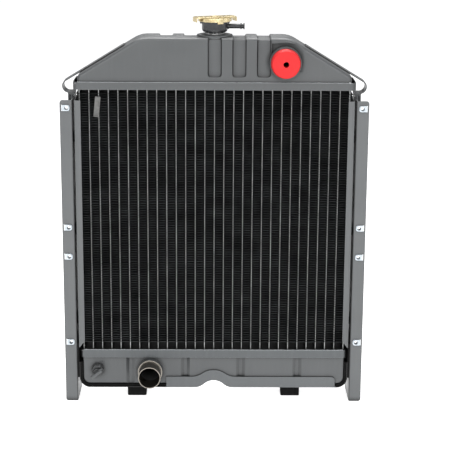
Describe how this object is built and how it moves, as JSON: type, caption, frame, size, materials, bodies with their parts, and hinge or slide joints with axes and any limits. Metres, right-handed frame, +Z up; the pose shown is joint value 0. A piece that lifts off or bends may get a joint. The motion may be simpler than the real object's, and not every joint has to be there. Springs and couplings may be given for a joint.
{
  "type": "engine radiator",
  "caption": "Upright coolant radiator with sloping top tank, pressure cap, plugged inlet, outlet, drain tap, finned tube core and two side brackets with clip nuts.",
  "frame": {"origin": "on the ground plane, midway between the two rubber feet and midway through the brackets' depth", "axes": "+Z up, -Y towards the front with the inlet and outlet, +X to the right seen from the front"},
  "size_m": [0.512, 0.1085, 0.6626],
  "materials": {
    "grey_paint": "satin grey enamel",
    "frame_paint": "satin grey enamel, slightly lighter",
    "core_black": "matt black core paint",
    "tube_metal": "thinly painted tube edges",
    "neck_black": "gloss black",
    "pipe_steel": "thin dark wash over steel with a bare rim",
    "bright_zinc": "bright zinc",
    "cap_gold": "yellow zinc passivate",
    "valve_brass": "plain brass",
    "spring_steel": "spring wire",
    "red_plastic": "moulded polyethylene",
    "black_rubber": "moulded rubber",
    "tag_metal": "dull sheet"
  },
  "bodies": {
    "root": {"top_tank": "grey_paint", "top_header": "grey_paint", "bottom_header": "grey_paint", "bottom_tank": "grey_paint", "fin_pack": "core_black", "core_tag": "tag_metal", "inlet_pipe": "grey_paint", "outlet_collar": "grey_paint", "outlet_pipe": "pipe_steel", "neck_saddle": "grey_paint", "filler_neck": "neck_black", "overflow_pipe": "neck_black", "drain_boss": "grey_paint", "drain_body": "grey_paint", "bottom_cushion": "black_rubber", "cradle": "grey_paint", "cradle_rivets": "frame_paint", "end_packings": "black_rubber", "frame_rivets": "frame_paint", "frame_spacers": "frame_paint", "hanger_rivets": "frame_paint", "foot_studs": "frame_paint", "rubber_foot_left": "black_rubber", "rubber_foot_right": "black_rubber", "tubes_front": "tube_metal", "tubes_middle": "tube_metal", "tubes_rear": "tube_metal", "side_plate_right": "frame_paint", "side_plate_left": "frame_paint", "side_bracket_right": "frame_paint", "side_bracket_left": "frame_paint", "clip_nuts_right": "bright_zinc", "clip_nuts_left": "bright_zinc", "strap_right": "frame_paint", "strap_left": "frame_paint", "strap_hanger_right": "frame_paint", "strap_hanger_left": "frame_paint"},
    "cap_seal": {"upper_gasket": "black_rubber"},
    "cap_disc": {"cap_diaphragm": "spring_steel"},
    "cap_top": {"cap_shell": "cap_gold", "cap_stem": "cap_gold"},
    "pressure_valve": {"valve_bell": "valve_brass", "valve_plate": "valve_brass", "valve_seal": "black_rubber", "pressure_spring": "spring_steel"},
    "vacuum_valve_set": {"vacuum_valve": "valve_brass", "vacuum_spring": "spring_steel"},
    "plug": {"inlet_plug": "red_plastic"},
    "drain_seal": {"drain_tip": "black_rubber"},
    "drain_handle": {"drain_tap": "grey_paint"}
  },
  "joints": [
    {"name": "cap_lift", "type": "slide", "parent": "root", "child": "cap_seal", "axis": [0, 0, 1], "range_m": [0, 0.06]},
    {"name": "cap_turn", "type": "hinge", "parent": "cap_seal", "child": "cap_disc", "pos_m": [0, 0, 0.657], "axis": [0, 0, 1], "range_deg": [-85, 0]},
    {"name": "cap_draw", "type": "slide", "parent": "cap_disc", "child": "cap_top", "axis": [0, 0, -1], "range_m": [0, 0.00121], "deforming": ["pressure_spring"]},
    {"name": "pressure_lift", "type": "slide", "parent": "cap_seal", "child": "pressure_valve", "axis": [0, 0, 1], "range_m": [0, 0.002], "stiffness_N_per_m": 6000, "springref_m": -0.008, "deforming": ["pressure_spring"]},
    {"name": "vacuum_drop", "type": "slide", "parent": "pressure_valve", "child": "vacuum_valve_set", "axis": [0, 0, -1], "range_m": [0, 0.0015], "stiffness_N_per_m": 100, "springref_m": -0.001, "deforming": ["vacuum_spring"]},
    {"name": "plug_pull", "type": "slide", "parent": "root", "child": "plug", "axis": [0, -1, 0], "range_m": [0, 0.06]},
    {"name": "drain_travel", "type": "slide", "parent": "root", "child": "drain_seal", "axis": [0, -1, 0], "range_m": [0, 0.0048]},
    {"name": "drain_turn", "type": "hinge", "parent": "drain_seal", "child": "drain_handle", "pos_m": [-0.2005, -0.05, 0.0566], "axis": [0, -1, 0], "range_deg": [0, 1155]}
  ],
  "couplings": [
    {"joint": "cap_draw", "follows": "cap_turn", "m_per_rad": -0.00080888},
    {"joint": "drain_turn", "follows": "drain_travel", "rad_per_m": 4188.8}
  ]
}
